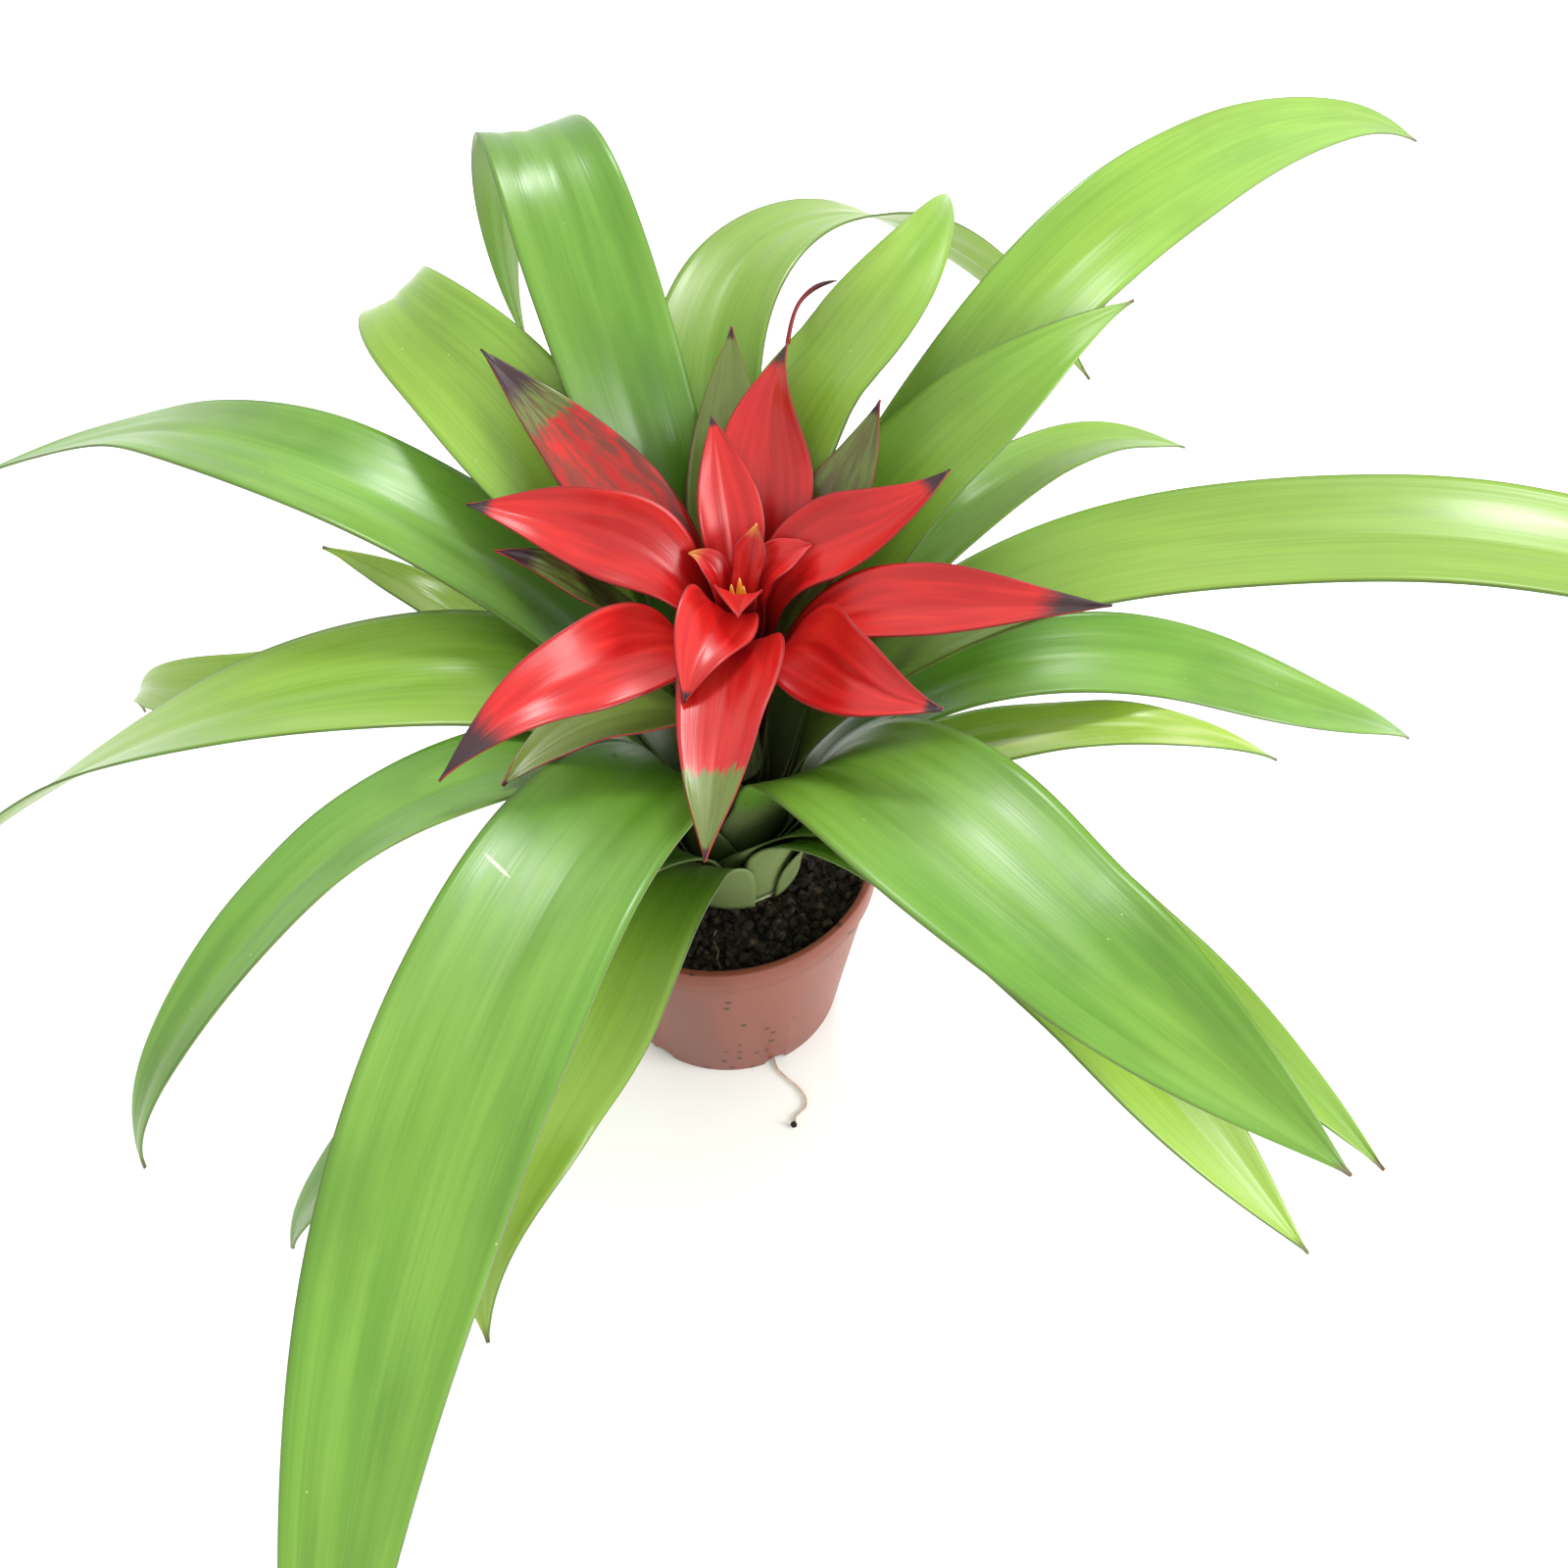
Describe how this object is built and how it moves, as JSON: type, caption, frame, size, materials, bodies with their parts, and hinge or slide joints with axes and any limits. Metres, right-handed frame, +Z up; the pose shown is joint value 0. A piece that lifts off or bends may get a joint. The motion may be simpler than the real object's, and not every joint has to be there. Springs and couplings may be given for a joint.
{
  "type": "potted bromeliad",
  "caption": "Live bromeliad in a round plastic grower's pot: a rosette of arching strap leaves around a raised head of pointed red bracts with small yellow buds.",
  "frame": {"origin": "centre of the pot's flat base", "axes": "+Z up from the base; -Y towards the front of the plant; +X to its right as seen from the front"},
  "size_m": [0.5023, 0.462, 0.2318],
  "materials": {
    "pot_plastic": "matte terracotta-coloured thin plastic",
    "peat": "loose moist peat mix",
    "leaf": "satin living leaf",
    "bract_red": "satin living bract",
    "bract_green": "satin living bract",
    "stem": "matte living stem",
    "bud": "satin living bud",
    "root": "dry fibre"
  },
  "bodies": {
    "root": {"pot": "pot_plastic", "soil": "peat", "stem": "stem", "leaf_right_pale": "leaf", "leaf_front_cup": "leaf", "leaf_front_right_low": "leaf", "leaf_front_left_low": "leaf", "leaf_right_under": "leaf", "leaf_left_low": "leaf", "leaf_right_lower": "leaf", "leaf_left_small": "leaf", "leaf_right_wedge": "leaf", "leaf_left_droop": "leaf", "leaf_right_small": "leaf", "leaf_front_right_big": "leaf", "leaf_left_middle": "leaf", "leaf_front_big": "leaf", "leaf_left_upper": "leaf", "leaf_right_long": "leaf", "leaf_right_upper": "leaf", "leaf_right_pointed": "leaf", "leaf_back_arch": "leaf", "leaf_left_folded": "leaf", "leaf_back_left_arch": "leaf", "leaf_back_wide": "leaf", "bract_green_left": "bract_green", "bract_brown_left": "bract_green", "bract_green_back": "bract_green", "bract_olive_back": "bract_green", "bract_front_left": "bract_red", "bract_back_tall": "bract_red", "bract_right": "bract_red", "bract_back_left": "bract_red", "bract_front_right": "bract_red", "bract_front": "bract_red", "bract_right_upper": "bract_red", "bract_left": "bract_red", "bract_back": "bract_red", "bract_front_cup": "bract_red", "bract_inner_right": "bract_red", "bract_inner_left": "bract_red", "bract_inner_front": "bract_red", "bract_inner_back": "bract_red", "flower_bud_1": "bud", "flower_bud_2": "bud", "flower_bud_3": "bud", "escaped_root": "root", "root_thread": "root", "peat_crumb": "peat"}
  },
  "joints": []
}
